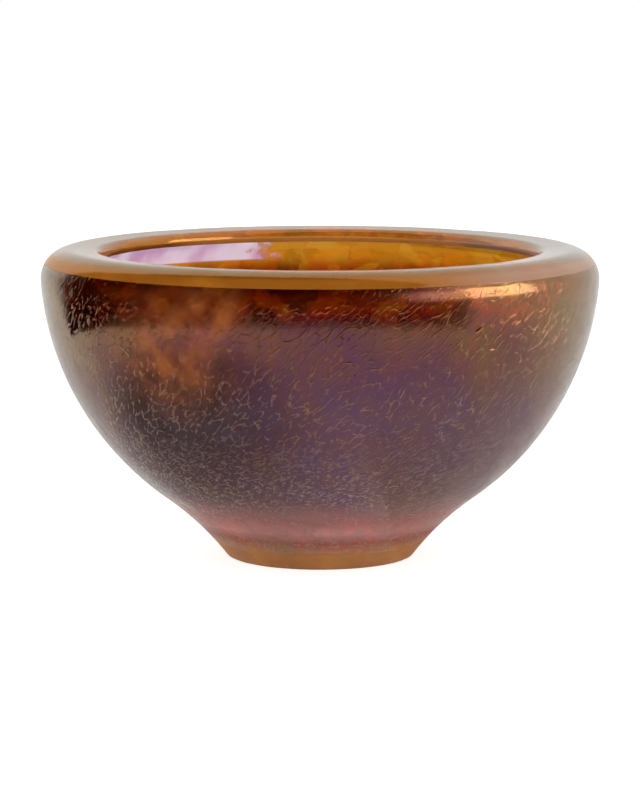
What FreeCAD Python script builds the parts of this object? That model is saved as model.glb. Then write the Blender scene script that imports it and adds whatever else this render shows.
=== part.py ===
import FreeCAD, Part

import math
import os

import Sketcher
from FreeCAD import Vector

# A heavy blown-glass bowl on a short flared foot, made of five fused layers of glass:
#   inner_gather  the first gather, which is the cavity wall and floor
#   frit_layer    the thin coat of coloured frit rolled onto the first gather
#   outer_casing  the second gather, which cases the colour and is the outside of the wall
#   lip_wrap      the heavy bead of clear glass that finishes the mouth
#   foot_disc     the disc of glass that the bowl stands on, with its ground pontil
#
# Frame: millimetres, +Z up, origin on the standing plane at the bowl's axis.
# The whole section is drawn once and turned into a blank. Planes and spheres that share
# the cavity's centre then part the blank into its layers, so neighbours meet face to face.

DIMENSIONS = {
    # outside
    "overall_dia": 200.0,      # widest outside diameter, just under the lip
    "overall_height": 111.5,   # standing plane to the crest of the lip
    "foot_dia": 64.8,          # outside of the flat ring that the bowl stands on
    "foot_corner": 2.0,        # radius between the flat ring and the flare
    "foot_angle": 52.4,        # slope of the flare where it leaves the foot, degrees
    "flare_radius": 107.4,     # hollow curve between the foot and the belly
    "belly_radius": 104.2,     # full curve of the wall
    # lip
    "lip_radius": 10.6,        # outer shoulder of the lip
    "lip_width": 21.8,         # outside of the bowl to the innermost point of the lip
    "lip_fall": 4.0,           # slope of the lip's top towards the cavity, degrees
    "lip_inner_radius": 3.2,   # inner edge of the lip
    "under_lip_radius": 16.0,  # hollow fillet from the lip's underside to the cavity wall
    "lip_depth": 5.2,          # crest to the joint between the lip wrap and the wall
    # glass thicknesses
    "wall": 15.5,              # at the widest point
    "base": 22.0,              # standing plane to the cavity floor
    "lining": 11.8,            # inner gather
    "frit": 1.2,               # colour layer
    "frit_top_gap": 0.4,       # lip joint to the top of the colour layer
    # foot
    "foot_height": 6.5,        # standing plane to the joint between the foot and the casing
    "pontil_dia": 36.0,        # ground hollow under the foot
    "pontil_depth": 1.2,
}

CLEAR = 10.0                   # how far a parting tool reaches past the blank
VOLUME_SHARE = 1e-4            # glass that may be lost or doubled when the blank is parted


def make_sheet(doc):
    """The driving dimensions, one alias to a row."""
    sheet = doc.addObject("Spreadsheet::Sheet", "Sizes")
    for row, (name, value) in enumerate(DIMENSIONS.items(), start=1):
        sheet.set("A%d" % row, name)
        sheet.set("B%d" % row, str(value))
        sheet.setAlias("B%d" % row, name)
    doc.recompute()
    return sheet


# ---------------------------------------------------------------- the section's geometry

def meet(centre_a, radius_a, centre_b, radius_b, left=True):
    """Where two circles cross, on the left or right of the line from a to b."""
    between = centre_b - centre_a
    apart = between.Length
    along = (radius_a ** 2 - radius_b ** 2 + apart ** 2) / (2 * apart)
    aside = math.sqrt(radius_a ** 2 - along ** 2)
    unit = between / apart
    normal = Vector(-unit.y, unit.x, 0)
    return centre_a + unit * along + normal * (aside if left else -aside)


def towards(start, end, distance):
    """The point that lies distance from start on the way to end."""
    return start + (end - start).normalize() * distance


def section_points(size):
    """Arc centres and tangent points of the bowl's half section, x as radius and y as height."""
    foot_angle = math.radians(size.foot_angle)
    lip_fall = math.radians(size.lip_fall)
    right_of_flare = Vector(math.sin(foot_angle), -math.cos(foot_angle), 0)
    top_normal = Vector(-math.sin(lip_fall), math.cos(lip_fall), 0)
    cavity_radius = size.overall_dia / 2 - size.wall
    p = {}

    p["foot_edge"] = Vector(size.foot_dia / 2, 0, 0)
    p["corner_centre"] = Vector(size.foot_dia / 2, size.foot_corner, 0)
    p["corner_end"] = p["corner_centre"] + right_of_flare * size.foot_corner
    p["flare_centre"] = p["corner_end"] + right_of_flare * size.flare_radius

    p["lip_centre"] = Vector(size.overall_dia / 2 - size.lip_radius, size.overall_height - size.lip_radius, 0)
    p["belly_centre"] = meet(p["flare_centre"], size.flare_radius + size.belly_radius,
                             p["lip_centre"], size.belly_radius - size.lip_radius)
    p["flare_end"] = towards(p["flare_centre"], p["belly_centre"], size.flare_radius)
    p["belly_end"] = towards(p["belly_centre"], p["lip_centre"], size.belly_radius)

    p["lip_top"] = p["lip_centre"] + top_normal * size.lip_radius
    edge_x = size.overall_dia / 2 - size.lip_width + size.lip_inner_radius
    line_to_edge = p["lip_top"] - top_normal * size.lip_inner_radius
    p["edge_centre"] = Vector(edge_x, line_to_edge.y - (line_to_edge.x - edge_x) * math.tan(lip_fall), 0)
    p["edge_start"] = p["edge_centre"] + top_normal * size.lip_inner_radius

    p["cavity_centre"] = Vector(0, size.base + cavity_radius, 0)
    p["under_centre"] = meet(p["cavity_centre"], cavity_radius - size.under_lip_radius,
                             p["edge_centre"], size.lip_inner_radius + size.under_lip_radius, left=False)
    p["edge_end"] = towards(p["edge_centre"], p["under_centre"], size.lip_inner_radius)
    p["cavity_start"] = towards(p["cavity_centre"], p["under_centre"], cavity_radius)
    p["floor"] = Vector(0, size.base, 0)

    pontil_radius = size.pontil_dia / 2
    dish = (pontil_radius ** 2 + size.pontil_depth ** 2) / (2 * size.pontil_depth)
    p["pontil_edge"] = Vector(pontil_radius, 0, 0)
    p["pontil_top"] = Vector(0, size.pontil_depth, 0)
    p["pontil_centre"] = Vector(0, size.pontil_depth - dish, 0)
    return p


def arc_between(centre, start, end):
    """The counter-clockwise arc from start to end."""
    radius = (start - centre).Length
    first = math.atan2(start.y - centre.y, start.x - centre.x)
    last = math.atan2(end.y - centre.y, end.x - centre.x)
    circle = Part.Circle(centre, Vector(0, 0, 1), radius)
    return Part.ArcOfCircle(circle, first, last if last > first else last + 2 * math.pi)


# ---------------------------------------------------------------- the blank

START, END, CENTRE = 1, 2, 3   # Sketcher's numbers for the points of a curve
ORIGIN = (-1, START)
STANDING_PLANE = -1            # the sketch's own horizontal axis
BOWL_AXIS = -2                 # and its vertical one


def draw_section(sketch, size):
    """Draws the half section with tangent arcs and ties its sizes to the sheet."""
    p = section_points(size)
    curves = {
        "ring": Part.LineSegment(p["pontil_edge"], p["foot_edge"]),
        "corner": arc_between(p["corner_centre"], p["foot_edge"], p["corner_end"]),
        "flare": arc_between(p["flare_centre"], p["flare_end"], p["corner_end"]),
        "belly": arc_between(p["belly_centre"], p["flare_end"], p["belly_end"]),
        "lip": arc_between(p["lip_centre"], p["belly_end"], p["lip_top"]),
        "top": Part.LineSegment(p["lip_top"], p["edge_start"]),
        "edge": arc_between(p["edge_centre"], p["edge_start"], p["edge_end"]),
        "under": arc_between(p["under_centre"], p["cavity_start"], p["edge_end"]),
        "cavity": arc_between(p["cavity_centre"], p["floor"], p["cavity_start"]),
        "axis": Part.LineSegment(p["floor"], p["pontil_top"]),
        "pontil": arc_between(p["pontil_centre"], p["pontil_edge"], p["pontil_top"]),
    }
    g = {name: sketch.addGeometry(curve, False) for name, curve in curves.items()}

    def join(kind, *ends):
        sketch.addConstraint(Sketcher.Constraint(kind, *ends))

    # Ends that meet at a tangent, which also makes them coincide.
    join("Tangent", g["ring"], END, g["corner"], START)
    join("Tangent", g["corner"], END, g["flare"], END)
    join("Tangent", g["flare"], START, g["belly"], START)
    join("Tangent", g["belly"], END, g["lip"], START)
    join("Tangent", g["lip"], END, g["top"], START)
    join("Tangent", g["top"], END, g["edge"], START)
    join("Tangent", g["edge"], END, g["under"], END)
    join("Tangent", g["under"], START, g["cavity"], END)
    # Ends that meet at a corner.
    join("Coincident", g["cavity"], START, g["axis"], START)
    join("Coincident", g["axis"], END, g["pontil"], END)
    join("Coincident", g["pontil"], START, g["ring"], START)
    # What lies on the axis and on the standing plane.
    join("Horizontal", g["ring"])
    join("PointOnObject", g["ring"], START, STANDING_PLANE)
    join("PointOnObject", g["cavity"], CENTRE, BOWL_AXIS)
    join("PointOnObject", g["cavity"], START, BOWL_AXIS)
    join("PointOnObject", g["pontil"], CENTRE, BOWL_AXIS)
    join("PointOnObject", g["pontil"], END, BOWL_AXIS)

    half_dia = size.overall_dia / 2
    up, across = "DistanceY", "DistanceX"
    sizes = [
        ("ring_outer", across, (*ORIGIN, g["ring"], END), size.foot_dia / 2, "Sizes.foot_dia / 2"),
        ("ring_inner", across, (*ORIGIN, g["ring"], START), size.pontil_dia / 2, "Sizes.pontil_dia / 2"),
        ("corner_radius", "Radius", (g["corner"],), size.foot_corner, "Sizes.foot_corner"),
        ("corner_turn", across, (g["corner"], CENTRE, g["corner"], END),
         size.foot_corner * math.sin(math.radians(size.foot_angle)),
         "Sizes.foot_corner * sin(Sizes.foot_angle * 1 deg)"),
        ("flare_radius", "Radius", (g["flare"],), size.flare_radius, "Sizes.flare_radius"),
        ("belly_radius", "Radius", (g["belly"],), size.belly_radius, "Sizes.belly_radius"),
        ("lip_radius", "Radius", (g["lip"],), size.lip_radius, "Sizes.lip_radius"),
        ("lip_across", across, (*ORIGIN, g["lip"], CENTRE), half_dia - size.lip_radius,
         "Sizes.overall_dia / 2 - Sizes.lip_radius"),
        ("lip_up", up, (*ORIGIN, g["lip"], CENTRE), size.overall_height - size.lip_radius,
         "Sizes.overall_height - Sizes.lip_radius"),
        ("lip_turn", up, (g["lip"], CENTRE, g["lip"], END),
         size.lip_radius * math.cos(math.radians(size.lip_fall)),
         "Sizes.lip_radius * cos(Sizes.lip_fall * 1 deg)"),
        ("edge_radius", "Radius", (g["edge"],), size.lip_inner_radius, "Sizes.lip_inner_radius"),
        ("edge_across", across, (*ORIGIN, g["edge"], CENTRE),
         half_dia - size.lip_width + size.lip_inner_radius,
         "Sizes.overall_dia / 2 - Sizes.lip_width + Sizes.lip_inner_radius"),
        ("under_radius", "Radius", (g["under"],), size.under_lip_radius, "Sizes.under_lip_radius"),
        ("cavity_radius", "Radius", (g["cavity"],), half_dia - size.wall,
         "Sizes.overall_dia / 2 - Sizes.wall"),
        ("floor_up", up, (*ORIGIN, g["cavity"], START), size.base, "Sizes.base"),
        ("pontil_up", up, (*ORIGIN, g["pontil"], END), size.pontil_depth, "Sizes.pontil_depth"),
    ]
    for name, kind, ends, value, expression in sizes:
        index = sketch.addConstraint(Sketcher.Constraint(kind, *ends, value))
        sketch.renameConstraint(index, name)
        sketch.setExpression("Constraints." + name, expression)


def make_blank(doc, size):
    """The whole bowl as one revolved body, which the layers are parted from."""
    body = doc.addObject("PartDesign::Body", "Blank")
    sketch = body.newObject("Sketcher::SketchObject", "Section")
    plane = next(f for f in body.Origin.OriginFeatures if f.Role == "XZ_Plane")
    sketch.AttachmentSupport = [(plane, "")]
    sketch.MapMode = "FlatFace"
    draw_section(sketch, size)
    turned = body.newObject("PartDesign::Revolution", "Turned")
    turned.Profile = sketch
    turned.ReferenceAxis = (sketch, ["V_Axis"])
    turned.Angle = 360
    doc.recompute()
    if sketch.solve() != 0:
        raise RuntimeError("the section doesn't solve")
    return body


# ---------------------------------------------------------------- parting tools and layers

OVER_DIA = "(Sizes.overall_dia / 2 + %g)" % CLEAR
CAVITY_RADIUS = "(Sizes.overall_dia / 2 - Sizes.wall)"
CAVITY_CENTRE = "(Sizes.base + Sizes.overall_dia / 2 - Sizes.wall)"
LIP_JOINT = "(Sizes.overall_height - Sizes.lip_depth)"


def slab(doc, name, low, high):
    """A cylinder wider than the bowl, between two heights."""
    tool = doc.addObject("Part::Cylinder", name)
    tool.setExpression("Radius", OVER_DIA)
    tool.setExpression("Height", "%s - (%s)" % (high, low))
    tool.setExpression("Placement.Base.z", low)
    return tool


def ball(doc, name, radius):
    """A sphere about the cavity's centre."""
    tool = doc.addObject("Part::Sphere", name)
    tool.setExpression("Radius", radius)
    tool.setExpression("Placement.Base.z", CAVITY_CENTRE)
    return tool


def boolean(doc, kind, name, base, tool):
    made = doc.addObject("Part::" + kind, name)
    made.Base = base
    made.Tool = tool
    return made


def make_layers(doc, blank):
    """Parts the blank into its five pieces of glass."""
    wall_slab = slab(doc, "WallSlab", "Sizes.foot_height", LIP_JOINT)
    foot_slab = slab(doc, "FootSlab", "-%g" % CLEAR, "Sizes.foot_height")
    lip_slab = slab(doc, "LipSlab", LIP_JOINT, "Sizes.overall_height + %g" % CLEAR)
    frit_slab = slab(doc, "FritSlab", "Sizes.foot_height", LIP_JOINT + " - Sizes.frit_top_gap")
    lining_ball = ball(doc, "LiningBall", CAVITY_RADIUS + " + Sizes.lining")
    frit_ball = ball(doc, "FritBall", CAVITY_RADIUS + " + Sizes.lining + Sizes.frit")

    foot = boolean(doc, "Common", "FootDisc", blank, foot_slab)
    lip = boolean(doc, "Common", "LipWrap", blank, lip_slab)
    wall = boolean(doc, "Common", "Wall", blank, wall_slab)
    gather = boolean(doc, "Common", "InnerGather", wall, lining_ball)
    frit_cup = boolean(doc, "Common", "FritCup", frit_ball, frit_slab)
    frit = boolean(doc, "Cut", "FritLayer", frit_cup, lining_ball)
    around = boolean(doc, "Cut", "AroundGather", wall, lining_ball)
    casing = boolean(doc, "Cut", "OuterCasing", around, frit)

    pieces = {
        "inner_gather": gather,
        "frit_layer": frit,
        "outer_casing": casing,
        "lip_wrap": lip,
        "foot_disc": foot,
    }
    for label, piece in pieces.items():
        piece.Label = label
    doc.recompute()
    return pieces


# ---------------------------------------------------------------- checks and export

def check(doc, pieces):
    """Stops the build if an object failed, a piece isn't one good solid, or glass was lost."""
    for item in doc.Objects:
        if "Invalid" in item.State or "Error" in item.State:
            raise RuntimeError("%s failed: %s" % (item.Label, item.State))
    for label, piece in pieces.items():
        shape = piece.Shape
        if shape.isNull() or not shape.isValid() or len(shape.Solids) != 1:
            raise RuntimeError("%s isn't one valid solid" % label)
        print("%-14s %9.1f mm3" % (label, shape.Volume))
    whole = doc.getObject("Blank").Shape.Volume
    parted = sum(piece.Shape.Volume for piece in pieces.values())
    if abs(whole - parted) > whole * VOLUME_SHARE:
        raise RuntimeError("the layers hold %.1f mm3 and the blank %.1f mm3" % (parted, whole))


def main():
    doc = FreeCAD.newDocument("GlassBowl")
    size = make_sheet(doc)
    blank = make_blank(doc, size)
    pieces = make_layers(doc, blank)
    check(doc, pieces)
    os.makedirs("parts", exist_ok=True)
    for label, piece in pieces.items():
        piece.Shape.exportStep("parts/%s.step" % label)


main()
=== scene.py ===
import math

import bmesh
import bpy
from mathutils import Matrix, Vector, noise


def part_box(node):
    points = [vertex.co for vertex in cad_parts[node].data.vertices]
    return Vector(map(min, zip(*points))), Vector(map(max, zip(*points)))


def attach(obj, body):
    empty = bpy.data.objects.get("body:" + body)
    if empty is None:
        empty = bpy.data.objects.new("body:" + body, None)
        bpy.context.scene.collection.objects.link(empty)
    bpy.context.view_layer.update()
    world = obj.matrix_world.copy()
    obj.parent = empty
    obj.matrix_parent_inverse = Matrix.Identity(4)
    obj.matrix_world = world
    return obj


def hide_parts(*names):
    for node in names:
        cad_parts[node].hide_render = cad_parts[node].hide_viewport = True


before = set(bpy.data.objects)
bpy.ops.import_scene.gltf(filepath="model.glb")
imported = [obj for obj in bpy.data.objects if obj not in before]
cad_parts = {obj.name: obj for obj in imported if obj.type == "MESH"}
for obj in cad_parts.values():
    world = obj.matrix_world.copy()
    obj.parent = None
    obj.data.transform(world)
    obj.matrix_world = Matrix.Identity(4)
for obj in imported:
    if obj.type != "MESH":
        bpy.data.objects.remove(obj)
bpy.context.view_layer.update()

mm = 0.001
print("frame loaded:", ", ".join(sorted(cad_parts)))

lipLow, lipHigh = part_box("lip_wrap")
casingLow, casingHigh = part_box("outer_casing")
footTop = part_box("foot_disc")[1].z
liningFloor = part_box("inner_gather")[0].z
fritLow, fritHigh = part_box("frit_layer")

bowl = {
    "radius": (casingHigh.x - casingLow.x) / 2,
    "height": lipHigh.z,
    "footJoint": footTop,        # foot disc to casing
    "lipJoint": lipLow.z,        # casing and lining to lip bead
    "fritTop": fritHigh.z,
    "liningFloor": liningFloor,  # underside of the lining, on the axis
    "fritFloor": fritLow.z,      # underside of the frit, on the axis
    "wall": 15.5 * mm,
    "base": 22.0 * mm,
    "footRadius": 32.4 * mm,     # edge of the standing ring
    "footCorner": 2.0 * mm,
    "footAngle": math.radians(52.4),
    "flareRadius": 107.4 * mm,
    "bellyRadius": 104.2 * mm,
    "lipRadius": 10.6 * mm,
    "lipWidth": 21.8 * mm,
    "lipFall": math.radians(4.0),
    "lipInnerRadius": 3.2 * mm,
    "underLipRadius": 16.0 * mm,
    "pontilRadius": 18.0 * mm,
    "pontilDepth": 1.2 * mm,     # of the ground hollow underneath
    "fuseGap": 0.01 * mm,        # each fused face is drawn back by this, so that no two coincide
}


def point(r, z):
    return Vector((r, z))


def meet(centreA, radiusA, centreB, radiusB, side):
    # where two circles cross, on that side of the line from a to b
    between = centreB - centreA
    apart = between.length
    along = (radiusA ** 2 - radiusB ** 2 + apart ** 2) / (2 * apart)
    aside = math.sqrt(radiusA ** 2 - along ** 2)
    unit = between / apart
    return centreA + unit * along + Vector((-unit.y, unit.x)) * (aside * side)


def towards(start, end, distance):
    return start + (end - start).normalized() * distance


def bowlSection(b):
    # the skin's curves in order from the pontil's top to the cavity's floor, as (centre, start, end, turn);
    # turn is 1 anticlockwise or -1 clockwise, and a straight stretch has no centre
    right = point(math.sin(b["footAngle"]), -math.cos(b["footAngle"]))
    up = point(-math.sin(b["lipFall"]), math.cos(b["lipFall"]))
    cavityRadius = b["radius"] - b["wall"]
    footEdge = point(b["footRadius"], 0)
    corner = point(b["footRadius"], b["footCorner"])
    cornerEnd = corner + right * b["footCorner"]
    flare = cornerEnd + right * b["flareRadius"]
    lip = point(b["radius"] - b["lipRadius"], b["height"] - b["lipRadius"])
    belly = meet(flare, b["flareRadius"] + b["bellyRadius"], lip, b["bellyRadius"] - b["lipRadius"], 1)
    flareEnd = towards(flare, belly, b["flareRadius"])
    bellyEnd = towards(belly, lip, b["bellyRadius"])
    lipTop = lip + up * b["lipRadius"]
    edgeX = b["radius"] - b["lipWidth"] + b["lipInnerRadius"]
    onLine = lipTop - up * b["lipInnerRadius"]
    edge = point(edgeX, onLine.y - (onLine.x - edgeX) * math.tan(b["lipFall"]))
    edgeStart = edge + up * b["lipInnerRadius"]
    cavity = point(0, b["base"] + cavityRadius)
    toUnder = b["underLipRadius"]
    under = meet(cavity, cavityRadius - toUnder, edge, b["lipInnerRadius"] + toUnder, -1)
    edgeEnd = towards(edge, under, b["lipInnerRadius"])
    cavityStart = towards(cavity, under, cavityRadius)
    floor = point(0, b["base"])
    pontilTop = point(0, b["pontilDepth"])
    pontilEdge = point(b["pontilRadius"], 0)
    dish = (b["pontilRadius"] ** 2 + b["pontilDepth"] ** 2) / (2 * b["pontilDepth"])
    return {
        "pontil": (point(0, b["pontilDepth"] - dish), pontilTop, pontilEdge, -1),
        "ring": (None, pontilEdge, footEdge, 0),
        "corner": (corner, footEdge, cornerEnd, 1),
        "flare": (flare, cornerEnd, flareEnd, -1),
        "belly": (belly, flareEnd, bellyEnd, 1),
        "shoulder": (lip, bellyEnd, lipTop, 1),
        "top": (None, lipTop, edgeStart, 0),
        "edge": (edge, edgeStart, edgeEnd, 1),
        "under": (under, edgeEnd, cavityStart, -1),
        "cavity": (cavity, cavityStart, floor, -1),
    }


def curvePoints(curve, step):
    # evenly spaced points of a curve, without its last one
    centre, start, end, turn = curve
    if centre is None:
        count = max(1, round((end - start).length / step))
        return [start.lerp(end, i / count) for i in range(count)]
    radius = (start - centre).length
    first = math.atan2(start.y - centre.y, start.x - centre.x)
    last = math.atan2(end.y - centre.y, end.x - centre.x)
    sweep = ((last - first) * turn) % (2 * math.pi)
    count = max(2, round(radius * sweep / step))
    angles = [first + turn * sweep * i / count for i in range(count)]
    return [centre + Vector((math.cos(a), math.sin(a))) * radius for a in angles]


def line(start, end):
    return (None, start, end, 0)


def atHeight(curve, z):
    # the point of a curve at that height
    centre, start, end, turn = curve
    radius = (start - centre).length
    across = math.sqrt(radius ** 2 - (z - centre.y) ** 2)
    side = 1 if start.x + end.x > 2 * centre.x else -1
    return point(centre.x + side * across, z)


def cutCurves(names, low, high):
    # the named curves, cut where they pass those heights
    cut = []
    for name in names:
        centre, start, end, turn = section[name]
        rising = end.y > start.y
        bottom, top = sorted((start.y, end.y))
        if top <= low or bottom >= high:
            continue
        if centre is not None:
            curve = section[name]
            if bottom < low:
                start, end = (atHeight(curve, low), end) if rising else (start, atHeight(curve, low))
            if top > high:
                start, end = (start, atHeight(curve, high)) if rising else (atHeight(curve, high), end)
        cut.append((centre, start, end, turn))
    return cut


section = bowlSection(bowl)
cavityCentre = section["cavity"][0]
liningRadius = cavityCentre.y - bowl["liningFloor"]
fritRadius = cavityCentre.y - bowl["fritFloor"]


meshing = {
    "onAxis": 1e-7,            # a point nearer to the axis than this lies on it
    "turns": 480,              # divisions round the bowl
    "skinStep": 0.9 * mm,
    "fineStep": 0.6 * mm,
    "fusedStep": 4.0 * mm,
    "wave": 0.12 * mm,         # hand-blown unevenness, longest first
    "waveSize": 34 * mm,
    "dimple": 0.03 * mm,
    "dimpleSize": 7 * mm,
}


def skinShift(place, normal):
    # moves a point of the skin by the unevenness of hand-worked glass
    m = meshing
    shift = m["wave"] * noise.noise(place / m["waveSize"])
    shift += m["dimple"] * noise.noise(place / m["dimpleSize"] + Vector((7, 3, 1)))
    moved = place + normal * shift
    moved.z = max(moved.z, 0.0)    # nothing reaches below the foot ring
    return moved


def turnPiece(name, stretches):
    # turns a closed outline about the axis; each stretch is (curves, step, fused, uneven)
    outline = []
    for curves, step, fused, uneven in stretches:
        for curve in curves:
            outline += [(p, fused, uneven) for p in curvePoints(curve, step)]
            if curve[2].x < meshing["onAxis"]:
                outline.append((curve[2], fused, uneven))
    count = len(outline)
    turns = meshing["turns"]
    verts, rings = [], []
    for i, (p, fused, uneven) in enumerate(outline):
        if p.x < meshing["onAxis"]:
            rings.append([len(verts)])
            verts.append(Vector((0, 0, p.y)))
            continue
        along = (outline[(i + 1) % count][0] - outline[i - 1][0]).normalized()
        rings.append(list(range(len(verts), len(verts) + turns)))
        for k in range(turns):
            angle = 2 * math.pi * k / turns
            across = Vector((math.cos(angle), math.sin(angle), 0))
            place = across * p.x + Vector((0, 0, p.y))
            if uneven:
                place = skinShift(place, across * along.y - Vector((0, 0, along.x)))
            verts.append(place)
    faces, fusedFaces = [], []
    for i in range(count):
        a, b = rings[i], rings[(i + 1) % count]
        if len(a) == 1 and len(b) == 1:
            continue
        for k in range(turns):
            n = (k + 1) % turns
            if len(a) == 1:
                face = (a[0], b[n], b[k])
            elif len(b) == 1:
                face = (a[k], a[n], b[0])
            else:
                face = (a[k], a[n], b[n], b[k])
            faces.append(face)
            fusedFaces.append(1.0 if outline[i][1] else 0.0)
    mesh = bpy.data.meshes.new(name)
    mesh.from_pydata([tuple(v) for v in verts], [], faces)
    mesh.attributes.new("fused", "FLOAT", "FACE").data.foreach_set("value", fusedFaces)
    mesh.shade_smooth()
    bm = bmesh.new()
    bm.from_mesh(mesh)
    mark = bm.faces.layers.float["fused"]
    for edge in bm.edges:      # the skin's edges against fused faces stay sharp
        a, b = edge.link_faces
        edge.smooth = a[mark] == b[mark]
    volume = bm.calc_volume(signed=True)
    if volume < 0:
        bmesh.ops.reverse_faces(bm, faces=bm.faces)
    bm.to_mesh(mesh)
    bm.free()
    piece = bpy.data.objects.new(name, mesh)
    bpy.context.scene.collection.objects.link(piece)
    print("made %s: %d faces, %.1f cm3" % (name, len(mesh.polygons), abs(volume) / mm ** 3 / 1000))
    return piece


def makeLipBead(b, m):
    z = b["lipJoint"] + b["fuseGap"]
    skin = cutCurves(["belly", "shoulder", "top", "edge", "under", "cavity"], z, b["height"])
    joint = [line(skin[-1][2], skin[0][1])]
    return turnPiece("lipBead", [(skin, m["fineStep"], False, True), (joint, m["fusedStep"], True, False)])


def makeCasing(b, m):
    gap = b["fuseGap"]
    low, high = b["footJoint"] + gap, b["lipJoint"] - gap
    skin = cutCurves(["flare", "belly", "shoulder"], low, high)
    side = cavityCentre.y
    liningBall = (cavityCentre, point(liningRadius + gap, side), point(0, b["liningFloor"] - gap), -1)
    fritBall = (cavityCentre, point(fritRadius + gap, side), point(0, b["fritFloor"] - gap), -1)
    innerTop = atHeight(liningBall, high)
    step = atHeight(liningBall, b["fritTop"] + gap)
    stepOut = atHeight(fritBall, b["fritTop"] + gap)
    fused = [
        line(skin[-1][2], innerTop),
        (cavityCentre, innerTop, step, -1),
        line(step, stepOut),
        (cavityCentre, stepOut, fritBall[2], -1),
        line(point(0, low), skin[0][1]),
    ]
    return turnPiece("casing", [(skin, m["skinStep"], False, True), (fused, m["fusedStep"], True, False)])


def makeFritCoat(b, m):
    inner = liningRadius + 2 * b["fuseGap"]
    outBall = (cavityCentre, point(0, b["fritFloor"]), point(fritRadius, cavityCentre.y), 1)
    inBall = (cavityCentre, point(inner, cavityCentre.y), point(0, cavityCentre.y - inner), -1)
    outTop, inTop = atHeight(outBall, b["fritTop"]), atHeight(inBall, b["fritTop"])
    outline = [
        (cavityCentre, outBall[1], outTop, 1),
        line(outTop, inTop),
        (cavityCentre, inTop, inBall[2], -1),
    ]
    return turnPiece("fritCoat", [(outline, m["fusedStep"] / 2, False, False)])


def makeLining(b, m):
    z = b["lipJoint"] - b["fuseGap"]
    skin = cutCurves(["edge", "under", "cavity"], 0, z)
    ball = (cavityCentre, point(0, b["liningFloor"]), point(liningRadius, cavityCentre.y), 1)
    outer = atHeight(ball, z)
    fused = [(cavityCentre, ball[1], outer, 1), line(outer, skin[0][1])]
    return turnPiece("lining", [(skin, m["skinStep"], False, True), (fused, m["fusedStep"], True, False)])


def makeFoot(b, m):
    z = b["footJoint"] - b["fuseGap"]
    under = [section["pontil"], section["ring"]]
    skin = [section["corner"]] + cutCurves(["flare"], 0, z)
    joint = [line(skin[-1][2], point(0, z))]
    return turnPiece("footBase", [
        (under, 3 * m["skinStep"], False, False),
        (skin, m["fineStep"], False, True),
        (joint, m["fusedStep"], True, False),
    ])


pieces = {
    "lip_wrap": (makeLipBead(bowl, meshing), "lip_glass"),
    "outer_casing": (makeCasing(bowl, meshing), "casing_glass"),
    "frit_layer": (makeFritCoat(bowl, meshing), "frit_colour"),
    "inner_gather": (makeLining(bowl, meshing), "lining_glass"),
    "foot_disc": (makeFoot(bowl, meshing), "foot_glass"),
}


glass = {
    "ior": 1.5,
    "filmIor": 2.0,
    "amber": (0.89, 0.64, 0.0),        # what the glass keeps of white light
    "orange": (0.90, 0.52, 0.0),       # the deeper lip bead
    "honey": (0.78, 0.44, 0.05),       # the paler glass of the casing and the foot
}


def link(tree, value, socket):
    # a number, a colour or another node's output goes into the socket
    if isinstance(value, bpy.types.NodeSocket):
        tree.links.new(value, socket)
    elif isinstance(value, tuple) and len(value) == 3 and socket.type == "RGBA":
        socket.default_value = (*value, 1)
    else:
        socket.default_value = value


def addNode(tree, kind, inputs=(), **settings):
    node = tree.nodes.new(kind)
    for key, value in settings.items():
        setattr(node, key, value)
    for name, value in dict(inputs).items():
        link(tree, value, node.inputs[name])
    return node


def calc(tree, operation, a, b=0.0, clamp=False):
    node = addNode(tree, "ShaderNodeMath", {0: a, 1: b}, operation=operation, use_clamp=clamp)
    return node.outputs[0]


def remap(tree, value, low, high, toLow=0.0, toHigh=1.0, kind="SMOOTHSTEP"):
    values = {"Value": value, "From Min": low, "From Max": high, "To Min": toLow, "To Max": toHigh}
    return addNode(tree, "ShaderNodeMapRange", values, interpolation_type=kind).outputs["Result"]


def mixColour(tree, amount, a, b, blend="MIX"):
    node = addNode(tree, "ShaderNodeMix", data_type="RGBA", blend_type=blend)
    link(tree, amount, node.inputs[0])
    link(tree, a, node.inputs[6])
    link(tree, b, node.inputs[7])
    return node.outputs[2]


def mixNumber(tree, amount, a, b):
    return addNode(tree, "ShaderNodeMix", {0: amount, 2: a, 3: b}, data_type="FLOAT").outputs[0]


def moveVector(tree, operation, a, b):
    return addNode(tree, "ShaderNodeVectorMath", {0: a, 1: b}, operation=operation).outputs["Vector"]


def distance(tree, a, b):
    return addNode(tree, "ShaderNodeVectorMath", {0: a, 1: b}, operation="DISTANCE").outputs["Value"]


def cloud(tree, vector, scale, detail=2.0, rough=0.5):
    values = {"Vector": vector, "Scale": scale, "Detail": detail, "Roughness": rough}
    return addNode(tree, "ShaderNodeTexNoise", values).outputs


def bands(tree, height, stops):
    # a colour that changes with height; stops are (height, colour) from low to high
    ramp = addNode(tree, "ShaderNodeValToRGB", {0: remap(tree, height, 0.0, bowl["height"], kind="LINEAR")})
    elements = ramp.color_ramp.elements
    for i, (z, colour) in enumerate(stops):
        place = z / bowl["height"]
        element = elements[i] if i < 2 else elements.new(place)
        element.position = place
        element.color = (*colour, 1)
    return ramp.outputs["Color"]


def levels(tree, height, stops):
    # a number that changes with height, in the same way
    top = max(value for z, value in stops)
    colour = bands(tree, height, [(z, (value / top,) * 3) for z, value in stops])
    return calc(tree, "MULTIPLY", colour, top)


def addDrift(tree, place, drift, amount):
    # moves a place about by up to half of this amount
    centred = moveVector(tree, "SUBTRACT", drift, (0.5, 0.5, 0.5))
    values = {0: centred, "Scale": amount}
    shift = addNode(tree, "ShaderNodeVectorMath", values, operation="SCALE").outputs[0]
    return moveVector(tree, "ADD", place, shift)


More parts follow.
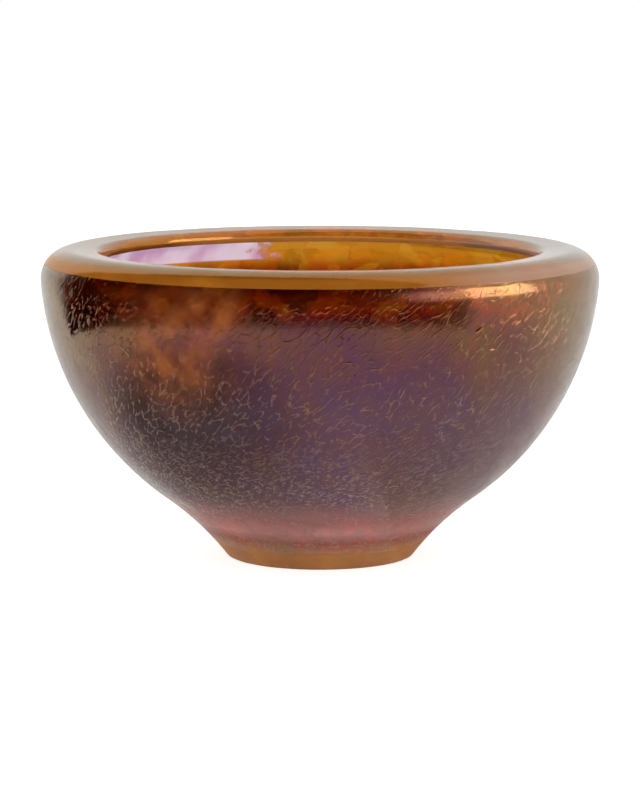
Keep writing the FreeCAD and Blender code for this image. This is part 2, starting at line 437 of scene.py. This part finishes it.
def addCreases(tree, place, look):
    # short broken creases, left where a chilled skin was stretched
    height = addNode(tree, "ShaderNodeSeparateXYZ", {0: place}).outputs["Z"]
    values = {"Vector": place, "Angle": calc(tree, "MULTIPLY", height, -look["slant"])}
    turned = addNode(tree, "ShaderNodeVectorRotate", values, rotation_type="Z_AXIS").outputs[0]
    flat = moveVector(tree, "MULTIPLY", turned, (1, 1, look["flatten"]))
    cells = look["cells"]
    bent = addDrift(tree, flat, cloud(tree, flat, 0.7 * cells, 1.0)["Color"], 0.9 / cells)
    values = {"Vector": bent, "Scale": cells}
    edge = addNode(tree, "ShaderNodeTexVoronoi", values, feature="DISTANCE_TO_EDGE").outputs["Distance"]
    lines = remap(tree, edge, 0.0, look["width"], 1.0, 0.0)
    gaps = cloud(tree, place, 1.3 * cells, 1.0)["Fac"]
    return calc(tree, "MULTIPLY", lines, remap(tree, gaps, look["breaks"], look["breaks"] + 0.08))


def addMottles(tree, place, cells):
    # crushed colour that has melted into patches with paler flecks
    smear = calc(tree, "DIVIDE", 1.6, cells)
    bent = addDrift(tree, place, cloud(tree, place, cells, 2.0)["Color"], smear)
    values = {"Vector": bent, "Scale": cells}
    grains = addNode(tree, "ShaderNodeTexVoronoi", values, feature="F1").outputs["Color"]
    tone = addNode(tree, "ShaderNodeSeparateXYZ", {0: grains}).outputs
    return tone["X"], remap(tree, tone["Y"], 0.72, 0.9)


def newGroup(name, inputs, outputs):
    group = bpy.data.node_groups.new(name, "ShaderNodeTree")
    for label, kind, value in inputs:
        socket = group.interface.new_socket(label, in_out="INPUT", socket_type=kind)
        if value is not None:
            socket.default_value = value
    for label, kind in outputs:
        group.interface.new_socket(label, in_out="OUTPUT", socket_type=kind)
    return group, group.nodes.new("NodeGroupInput").outputs, group.nodes.new("NodeGroupOutput").inputs


def placeGroup(tree, group, inputs):
    node = tree.nodes.new("ShaderNodeGroup")
    node.node_tree = group
    for name, value in inputs.items():
        link(tree, value, node.inputs[name])
    return node.outputs


def makeMottleGroup():
    group, given, out = newGroup(
        "mottles",
        [("Vector", "NodeSocketVector", None), ("Cells", "NodeSocketFloat", 150.0)],
        [("Patch", "NodeSocketFloat"), ("Fleck", "NodeSocketFloat")],
    )
    patch, fleck = addMottles(group, given["Vector"], given["Cells"])
    link(group, patch, out["Patch"])
    link(group, fleck, out["Fleck"])
    return group


def makePebbleGroup():
    # fine pebbling of the skin
    group, given, out = newGroup(
        "pebbles",
        [("Vector", "NodeSocketVector", None), ("Cells", "NodeSocketFloat", 900.0)],
        [("Height", "NodeSocketFloat")],
    )
    fine = cloud(group, given["Vector"], given["Cells"], 2.0)["Fac"]
    values = {"Vector": given["Vector"], "Scale": given["Cells"]}
    blobs = addNode(group, "ShaderNodeTexVoronoi", values, feature="SMOOTH_F1").outputs["Distance"]
    link(group, calc(group, "SUBTRACT", fine, blobs), out["Height"])
    return group


mottles = makeMottleGroup()
pebbles = makePebbleGroup()
print("shader groups ready: mottles, pebbles")


def newMaterial(name):
    mat = bpy.data.materials.new(name)
    mat.use_nodes = True
    tree = mat.node_tree
    tree.nodes.clear()
    return mat, tree


def bodyPlace(tree):
    # the place in the object's own frame, and its three coordinates
    vector = tree.nodes.new("ShaderNodeTexCoord").outputs["Object"]
    return vector, *addNode(tree, "ShaderNodeSeparateXYZ", {0: vector}).outputs


def glassSkin(tree, colour, roughness, film, normal=None):
    skin = addNode(tree, "ShaderNodeBsdfPrincipled", {
        "Base Color": colour,
        "Roughness": roughness,
        "IOR": glass["ior"],
        "Transmission Weight": 1.0,
        "Thin Film Thickness": film,
        "Thin Film IOR": glass["filmIor"],
    })
    if normal is not None:
        link(tree, normal, skin.inputs["Normal"])
    return skin


def finishGlass(tree, skin, tint, density, milk, share):
    # fused faces let everything straight through; the rest is the skin, with a share of milky glass
    cloudy = addNode(tree, "ShaderNodeBsdfDiffuse", {"Color": milk}).outputs[0]
    surface = addNode(tree, "ShaderNodeMixShader", {0: share, 1: skin.outputs[0], 2: cloudy}).outputs[0]
    fused = addNode(tree, "ShaderNodeAttribute", attribute_name="fused").outputs["Fac"]
    clear = tree.nodes.new("ShaderNodeBsdfTransparent").outputs[0]
    mix = addNode(tree, "ShaderNodeMixShader", {0: fused, 1: surface, 2: clear}).outputs[0]
    absorb = addNode(tree, "ShaderNodeVolumeAbsorption", {"Color": tint, "Density": density}).outputs[0]
    addNode(tree, "ShaderNodeOutputMaterial", {"Surface": mix, "Volume": absorb})


# in the dictionaries below, four numbers are a range of place or of noise, and the value at each end

lipBead = {
    "colour": (0.99, 0.93, 0.85),
    "roughness": 0.12,
    "density": 120.0,
    "driftCells": 60.0,
    "film": (0.3, 0.7, 108.0, 126.0),        # nanometres
    "milk": ((0.50, 0.13, 0.01), (0.95, 0.36, 0.03)),
    "paintedSheenSide": (0.030, 0.070),              # painted pink sheen, growing towards this side, where the side softbox reflects
    "paintedSheen": (0.78, 0.50, 0.38),
    "milkShare": (0.1085, 0.1108, 0.45, 0.12),
}


def makeLipMaterial(look):
    mat, tree = newMaterial("lipGlass")
    vector, x, y, z = bodyPlace(tree)
    drift = cloud(tree, vector, look["driftCells"], 3.0)["Fac"]
    film = remap(tree, drift, *look["film"], kind="LINEAR")
    skin = glassSkin(tree, look["colour"], look["roughness"], film)
    milk = mixColour(tree, drift, *look["milk"])
    # painted sheen: the lip turns pink towards its right-hand side
    milk = mixColour(tree, remap(tree, x, *look["paintedSheenSide"]), milk, look["paintedSheen"])
    finishGlass(tree, skin, glass["orange"], look["density"], milk, remap(tree, z, *look["milkShare"]))
    return mat


glowWhereThin = {
    "patches": [                             # each is (place, radius)
        ((-0.050, -0.081, 0.084), 0.034),
        ((-0.033, -0.090, 0.098), 0.018),
        ((0.060, 0.072, 0.080), 0.028),
    ],
    "ragged": (70.0, 0.018),                 # cells, and how far the patches' edges wander
    "patchyCells": 130.0,
    "patchy": (0.30, 0.68, 0.35, 1.0),
}


def glowWhereThinMask(tree, vector, look):
    # where the colour was rolled on thin, and a painted glow stands for light shining through the wall
    cells, amount = look["ragged"]
    bent = addDrift(tree, vector, cloud(tree, vector, cells, 2.0)["Color"], amount)
    total = 0.0
    for place, radius in look["patches"]:
        apart = distance(tree, bent, place)
        total = calc(tree, "ADD", total, remap(tree, apart, 0.0, radius, 1.0, 0.0), clamp=True)
    patchy = remap(tree, cloud(tree, vector, look["patchyCells"], 3.0)["Fac"], *look["patchy"])
    return calc(tree, "MULTIPLY", total, patchy)


casing = {
    "colour": (0.97, 0.90, 0.88),
    "roughness": (0.085, 0.100, 0.09, 0.19),
    "density": 25.0,
    "coarseCreases": {"cells": 340.0, "slant": 8.0, "flatten": 0.6, "width": 0.07, "breaks": 0.45},
    "fineCreases": {"cells": 460.0, "slant": 20.0, "flatten": 1.3, "width": 0.15, "breaks": 0.46},
    "fineShare": (0.035, 0.060, 1.0, 0.0),   # the creases are fine and dense low down
    "creaseDepth": (0.090, 0.098, 1.0, 0.3),
    # painted highlight: a pale colour laid along the creases, below the band under the lip
    "creaseHighlight": (0.66, 0.43, 0.37),
    "creaseHighlightShare": (0.086, 0.093, 1.0, 0.0),
    "creaseHighlightMost": 0.16,
    "creaseFilm": 12.0,                      # the film is thinner by this in a crease, in nanometres
    "pebbleCells": 800.0,
    "pebbleDepth": (0.010, 0.050, 0.35, 0.0),
    "bump": (0.45, 0.4 * mm),                # strength and depth
    "driftCells": 50.0,
    "film": [                                # height and nanometres
        (0.006, 126.0), (0.014, 138.0), (0.030, 138.0), (0.055, 137.0),
        (0.070, 132.0), (0.085, 126.0), (0.104, 120.0),
    ],
    "filmDrift": (0.3, 0.7, -6.0, 6.0),
    "milk": [
        (0.006, (0.95, 0.42, 0.16)),
        (0.011, (0.60, 0.16, 0.10)),
        # painted pink sheen: the band just above the foot is a painted reflection
        (0.015, (1.00, 0.46, 0.40)),
        (0.020, (0.80, 0.26, 0.20)),
        (0.030, (0.16, 0.11, 0.11)),
        (0.060, (0.22, 0.17, 0.17)),
        (0.085, (0.16, 0.05, 0.03)),
    ],
    "milkShare": [
        (0.006, 0.60), (0.016, 0.65), (0.022, 0.40), (0.030, 0.25),
        (0.048, 0.22), (0.065, 0.20), (0.086, 0.06), (0.094, 0.0),
    ],
    "milkDrift": (0.35, 0.65, 0.5, 1.5),
    # painted glow: orange laid on the thin patches, for light shining through the wall
    "glow": (0.90, 0.28, 0.06),
    "glowShare": 0.30,
}


def makeCasingMaterial(look):
    mat, tree = newMaterial("casingGlass")
    vector, x, y, z = bodyPlace(tree)
    coarse = addCreases(tree, vector, look["coarseCreases"])
    fine = addCreases(tree, vector, look["fineCreases"])
    creased = mixNumber(tree, remap(tree, z, *look["fineShare"]), coarse, fine)
    creased = calc(tree, "MULTIPLY", creased, remap(tree, z, *look["creaseDepth"]))
    grain = placeGroup(tree, pebbles, {"Vector": vector, "Cells": look["pebbleCells"]})["Height"]
    grain = calc(tree, "MULTIPLY", grain, remap(tree, z, *look["pebbleDepth"]))
    strength, depth = look["bump"]
    values = {"Strength": strength, "Distance": depth, "Height": calc(tree, "ADD", creased, grain)}
    bump = addNode(tree, "ShaderNodeBump", values).outputs[0]

    drift = cloud(tree, vector, look["driftCells"], 4.0, 0.6)["Fac"]
    film = remap(tree, drift, *look["filmDrift"], kind="LINEAR")
    film = calc(tree, "ADD", levels(tree, z, look["film"]), film)
    film = calc(tree, "SUBTRACT", film, calc(tree, "MULTIPLY", creased, look["creaseFilm"]))
    skin = glassSkin(tree, look["colour"], remap(tree, z, *look["roughness"]), film, bump)

    # painted highlight along the creases
    pale = calc(tree, "MULTIPLY", creased, remap(tree, z, *look["creaseHighlightShare"]))
    milk = mixColour(tree, pale, bands(tree, z, look["milk"]), look["creaseHighlight"])
    uneven = remap(tree, drift, *look["milkDrift"], kind="LINEAR")
    share = calc(tree, "MULTIPLY", levels(tree, z, look["milkShare"]), uneven)
    share = calc(tree, "MAXIMUM", share, calc(tree, "MULTIPLY", pale, look["creaseHighlightMost"]), clamp=True)
    # painted glow on the thin patches, where the colour is rolled on thin
    thinGlow = glowWhereThinMask(tree, vector, glowWhereThin)
    milk = mixColour(tree, thinGlow, milk, look["glow"])
    share = calc(tree, "ADD", share, calc(tree, "MULTIPLY", thinGlow, look["glowShare"]), clamp=True)
    finishGlass(tree, skin, glass["honey"], look["density"], milk, share)
    return mat


frit = {
    "cells": 150.0,
    "coat": [                                # how it tints what is seen through it, by height
        (0.009, (0.85, 0.60, 0.45)),
        (0.020, (0.75, 0.45, 0.30)),
        (0.034, (0.25, 0.10, 0.08)),
        (0.055, (0.28, 0.09, 0.06)),
        (0.076, (0.42, 0.09, 0.05)),
        (0.086, (0.62, 0.20, 0.08)),
        (0.098, (0.72, 0.26, 0.09)),
        (0.104, (0.97, 0.68, 0.28)),
    ],
    "tone": (0.0, 1.0, 0.55, 1.0),
    "fleckShare": 0.55,
    "fleck": (0.98, 0.86, 0.40),
    "milk": [
        (0.009, (0.55, 0.20, 0.10)),
        (0.034, (0.10, 0.04, 0.04)),
        (0.070, (0.16, 0.06, 0.05)),
        (0.085, (0.40, 0.10, 0.04)),
    ],
    "milkShare": (0.076, 0.086, 0.26, 0.03),
    "glow": (1.0, 0.34, 0.04),
    "glowShare": 0.5,
}


def makeFritMaterial(look):
    mat, tree = newMaterial("fritMottle")
    vector, x, y, z = bodyPlace(tree)
    patch, fleck = addMottles(tree, vector, look["cells"])
    tone = remap(tree, patch, *look["tone"], kind="LINEAR")
    grey = addNode(tree, "ShaderNodeCombineXYZ", {0: tone, 1: tone, 2: tone}).outputs[0]
    tint = mixColour(tree, 1.0, bands(tree, z, look["coat"]), grey, "MULTIPLY")
    tint = mixColour(tree, calc(tree, "MULTIPLY", fleck, look["fleckShare"]), tint, look["fleck"])
    clear = addNode(tree, "ShaderNodeBsdfTransparent", {0: tint}).outputs[0]
    # the thin patches turn the coat translucent orange, so that light shines through there
    thinGlow = glowWhereThinMask(tree, vector, glowWhereThin)
    milk = mixColour(tree, thinGlow, bands(tree, z, look["milk"]), look["glow"])
    milky = addNode(tree, "ShaderNodeBsdfTranslucent", {0: milk}).outputs[0]
    share = calc(tree, "MULTIPLY", thinGlow, look["glowShare"])
    share = calc(tree, "ADD", remap(tree, z, *look["milkShare"]), share, clamp=True)
    surface = addNode(tree, "ShaderNodeMixShader", {0: share, 1: clear, 2: milky}).outputs[0]
    addNode(tree, "ShaderNodeOutputMaterial", {"Surface": surface})
    return mat


lining = {
    "cells": 150.0,
    "patches": ((0.96, 0.60, 0.12), (1.0, 0.80, 0.20)),
    "fleck": (1.0, 0.92, 0.40),
    "lowColour": (0.98, 0.80, 0.55),
    "lowEnd": (0.070, 0.085),                # below these heights the glass turns plain
    "roughness": 0.04,
    "density": 150.0,
    "milk": ((0.80, 0.28, 0.01), (0.95, 0.46, 0.03)),
    "milkShare": (0.094, 0.101, 0.0, 0.45),
    "reflectionEdge": (0.0990, 0.0998),           # the painted violet reflection under the lip starts at this height
    "reflectionSide": (-0.026, -0.016, 1.0, 0.0),
    "reflectionBack": (0.0, 0.020),
    "reflectionRagged": (0.3, 0.7, -0.006, 0.006),
    "reflectionRaggedCells": 220.0,
    "reflectionCells": 60.0,
    "reflectionColours": ((0.72, 0.42, 0.68), (0.95, 0.80, 0.98)),
    "reflectionShare": 0.8,
}


def makeLiningMaterial(look):
    mat, tree = newMaterial("liningGlass")
    vector, x, y, z = bodyPlace(tree)
    spots = placeGroup(tree, mottles, {"Vector": vector, "Cells": look["cells"]})
    colour = mixColour(tree, spots["Patch"], *look["patches"])
    colour = mixColour(tree, spots["Fleck"], colour, look["fleck"])
    colour = mixColour(tree, remap(tree, z, *look["lowEnd"]), look["lowColour"], colour)
    skin = glassSkin(tree, colour, look["roughness"], 0.0)

    # painted reflection: a violet-white patch on the lining's left, under the lip, stands for a lamp's
    # reflection
    ragged = cloud(tree, vector, look["reflectionRaggedCells"], 3.0)["Fac"]
    reach = calc(tree, "ADD", x, remap(tree, ragged, *look["reflectionRagged"], kind="LINEAR"))
    back = remap(tree, y, *look["reflectionBack"])
    paintedReflection = calc(tree, "MULTIPLY", remap(tree, reach, *look["reflectionSide"]), back)
    paintedReflection = calc(tree, "MULTIPLY", paintedReflection, remap(tree, z, *look["reflectionEdge"]))
    reflectionTint = remap(tree, cloud(tree, vector, look["reflectionCells"], 2.0)["Fac"], 0.35, 0.65)
    reflectionTint = mixColour(tree, reflectionTint, *look["reflectionColours"])
    patch, fleck = addMottles(tree, vector, look["cells"])
    milk = mixColour(tree, paintedReflection, mixColour(tree, patch, *look["milk"]), reflectionTint)
    share = calc(tree, "MULTIPLY", paintedReflection, look["reflectionShare"])
    share = calc(tree, "MAXIMUM", share, remap(tree, z, *look["milkShare"]))
    finishGlass(tree, skin, glass["amber"], look["density"], milk, share)
    return mat


foot = {
    "colour": (0.97, 0.88, 0.75),
    "roughness": 0.12,
    "density": 28.0,
    "film": 118.0,                           # nanometres
    "pebbleCells": 900.0,
    "bump": (0.5, 0.4 * mm),                 # strength and depth
    "driftCells": 60.0,
    "milk": ((0.58, 0.18, 0.07), (1.0, 0.50, 0.15)),
    "milkShare": (0.3, 0.7, 0.65, 0.9),
}


def makeFootMaterial(look):
    mat, tree = newMaterial("footGlass")
    vector, x, y, z = bodyPlace(tree)
    grain = placeGroup(tree, pebbles, {"Vector": vector, "Cells": look["pebbleCells"]})["Height"]
    strength, depth = look["bump"]
    values = {"Strength": strength, "Distance": depth, "Height": grain}
    bump = addNode(tree, "ShaderNodeBump", values).outputs[0]
    skin = glassSkin(tree, look["colour"], look["roughness"], look["film"], bump)
    drift = cloud(tree, vector, look["driftCells"], 3.0)["Fac"]
    milk = mixColour(tree, drift, *look["milk"])
    share = remap(tree, drift, *look["milkShare"], kind="LINEAR")
    finishGlass(tree, skin, glass["honey"], look["density"], milk, share)
    return mat


materials = {
    "lip_wrap": makeLipMaterial(lipBead),
    "outer_casing": makeCasingMaterial(casing),
    "frit_layer": makeFritMaterial(frit),
    "inner_gather": makeLiningMaterial(lining),
    "foot_disc": makeFootMaterial(foot),
}

for node, (piece, slot) in pieces.items():
    piece.data.materials.append(materials[node])
    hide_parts(node)
    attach(piece, "root")
print("finishes laid on: %d pieces" % len(pieces))


scene = bpy.context.scene
scene.view_settings.view_transform = "Standard"
scene.cycles.transparent_max_bounces = 64    # the layers lie close, and light crosses every one of them
scene.cycles.max_bounces = 24
scene.cycles.transmission_bounces = 24
scene.cycles.glossy_bounces = 8


def addStageMesh(name, verts, faces, hiddenFrom=()):
    mesh = bpy.data.meshes.new(name)
    mesh.from_pydata(verts, [], faces)
    item = bpy.data.objects.new(name, mesh)
    scene.collection.objects.link(item)
    for ray in hiddenFrom:
        setattr(item, "visible_" + ray, False)
    return mesh


def seenInGlass(tree):
    # 1 for what the camera sees itself, and 1 for what it sees in or through the glass
    path = tree.nodes.new("ShaderNodeLightPath").outputs
    return path["Is Camera Ray"], calc(tree, "MAXIMUM", path["Is Glossy Ray"], path["Is Transmission Ray"])


sky = {"light": 0.85, "seen": 1.0}


def makeWorld(look):
    world = bpy.data.worlds.new("studio")
    world.use_nodes = True
    tree = world.node_tree
    tree.nodes.clear()
    seen = calc(tree, "MAXIMUM", *seenInGlass(tree))
    strength = remap(tree, seen, 0.0, 1.0, look["light"], look["seen"], kind="LINEAR")
    back = addNode(tree, "ShaderNodeBackground", {"Color": (1, 1, 1), "Strength": strength}).outputs[0]
    addNode(tree, "ShaderNodeOutputWorld", {"Surface": back})
    scene.world = world


floor = {
    "halfSize": 6.0,
    "colour": (0.8, 0.8, 0.8),
    "lift": 0.75,                            # brings the paper to white, and leaves the bowl's shadow on it
    "mirroredLift": 0.36,
}


def makeFloor(look):
    h = look["halfSize"]
    mesh = addStageMesh("floor", [(-h, -h, 0), (h, -h, 0), (h, h, 0), (-h, h, 0)], [(0, 1, 2, 3)])
    mat, tree = newMaterial("floorPaper")
    paper = addNode(tree, "ShaderNodeBsdfDiffuse", {"Color": look["colour"]}).outputs[0]
    straight, inGlass = seenInGlass(tree)
    direct = calc(tree, "MULTIPLY", straight, look["lift"])
    level = calc(tree, "ADD", direct, calc(tree, "MULTIPLY", inGlass, look["mirroredLift"]))
    lift = addNode(tree, "ShaderNodeEmission", {"Strength": level}).outputs[0]
    both = addNode(tree, "ShaderNodeAddShader", {0: paper, 1: lift}).outputs[0]
    addNode(tree, "ShaderNodeOutputMaterial", {"Surface": both})
    mesh.materials.append(mat)


screen = {
    "radius": 0.34,
    "height": 0.47,
    "roofBack": 0.03,
    "start": math.radians(-117),             # angles run from the front of the bowl
    "end": math.radians(55),
    "steps": 48,
    "glow": (0.240, 0.315, 0.0, 0.8),        # the right-hand end catches light
}


def makeScreen(look):
    # the dark side of the room, which shows only in and through the glass
    radius, height = look["radius"], look["height"]
    verts, faces = [(0, look["roofBack"], height)], []
    for i in range(look["steps"] + 1):
        angle = look["start"] + (look["end"] - look["start"]) * i / look["steps"]
        x, y = radius * math.sin(angle), -radius * math.cos(angle)
        verts += [(x, y, 0), (x, y, height)]
        if i < look["steps"]:
            low, top, nextLow, nextTop = 2 * i + 1, 2 * i + 2, 2 * i + 3, 2 * i + 4
            faces += [(low, nextLow, nextTop, top), (top, nextTop, 0)]
    mesh = addStageMesh("darkScreen", verts, faces, ("camera", "diffuse", "shadow", "volume_scatter"))
    mat, tree = newMaterial("screenFelt")
    vector, x, y, z = bodyPlace(tree)
    lit = addNode(tree, "ShaderNodeEmission", {"Strength": remap(tree, x, *look["glow"])}).outputs[0]
    addNode(tree, "ShaderNodeOutputMaterial", {"Surface": lit})
    mesh.materials.append(mat)


darkMat = {
    "centre": (-0.12, -0.09, 0.0005),
    "halfSize": 0.15,
    "solid": 0.25,                           # this share of it is at its darkest
    "dark": 0.15,
}


def makeDarkMat(look):
    # a dark mat beside the foot, which only polished surfaces see, darkest at its middle
    x, y, z = look["centre"]
    h = look["halfSize"]
    corners = [(x - h, y - h, z), (x + h, y - h, z), (x + h, y + h, z), (x - h, y + h, z)]
    hiddenFrom = ("camera", "diffuse", "transmission", "shadow", "volume_scatter")
    mesh = addStageMesh("darkMat", corners, [(0, 1, 2, 3)], hiddenFrom)
    mat, tree = newMaterial("matCloth")
    vector = bodyPlace(tree)[0]
    apart = distance(tree, vector, look["centre"])
    level = remap(tree, apart, look["solid"] * h, h, look["dark"], 1.0)
    lit = addNode(tree, "ShaderNodeEmission", {"Strength": level}).outputs[0]
    addNode(tree, "ShaderNodeOutputMaterial", {"Surface": lit})
    mesh.materials.append(mat)


sideSoftbox = {
    "name": "sideSoftbox",
    "place": (0.72, -0.32, 0.36),
    "aim": (0, 0, 0.10),
    "size": (0.85, 0.40),
    "power": 6,
    "colour": (1.0, 0.93, 0.82),
    "hiddenFrom": ("camera", "diffuse", "transmission"),
}

liningBounce = {
    "name": "liningBounce",
    "place": (0, 0, 0.045),
    "aim": (0, 0.0001, 0.2),
    "size": (0.04, 0.04),
    "power": 0.10,
    "colour": (1.0, 1.0, 1.0),
    "hiddenFrom": ("camera", "glossy", "transmission"),
}


def softbox(look):
    data = bpy.data.lights.new(look["name"], "AREA")
    data.shape = "RECTANGLE"
    data.size, data.size_y = look["size"]
    data.energy = look["power"]
    data.color = look["colour"]
    lamp = bpy.data.objects.new(look["name"], data)
    lamp.location = look["place"]
    lamp.rotation_euler = (Vector(look["aim"]) - Vector(look["place"])).to_track_quat("-Z", "Y").to_euler()
    for ray in look["hiddenFrom"]:
        setattr(lamp, "visible_" + ray, False)
    scene.collection.objects.link(lamp)
    return lamp


def lightOnly(lamp, piece):
    linked = bpy.data.collections.new("liningOnly")
    linked.objects.link(piece)
    lamp.light_linking.receiver_collection = linked


view = {
    "distance": 1.209,
    "pitch": math.radians(7.824),
    "aimHeight": 56.05 * mm,
    "lens": 150.9,
    "sensor": 36,
}


def makeCamera(look):
    data = bpy.data.cameras.new("camera")
    data.lens = look["lens"]
    data.sensor_width = look["sensor"]
    cam = bpy.data.objects.new("camera", data)
    across, up = math.cos(look["pitch"]), math.sin(look["pitch"])
    cam.location = (0, -look["distance"] * across, look["aimHeight"] + look["distance"] * up)
    cam.rotation_euler = (math.pi / 2 - look["pitch"], 0, 0)
    scene.collection.objects.link(cam)
    scene.camera = cam


makeWorld(sky)
makeFloor(floor)
makeScreen(screen)
makeDarkMat(darkMat)
softbox(sideSoftbox)
lightOnly(softbox(liningBounce), pieces["inner_gather"][0])
makeCamera(view)
print("studio ready")
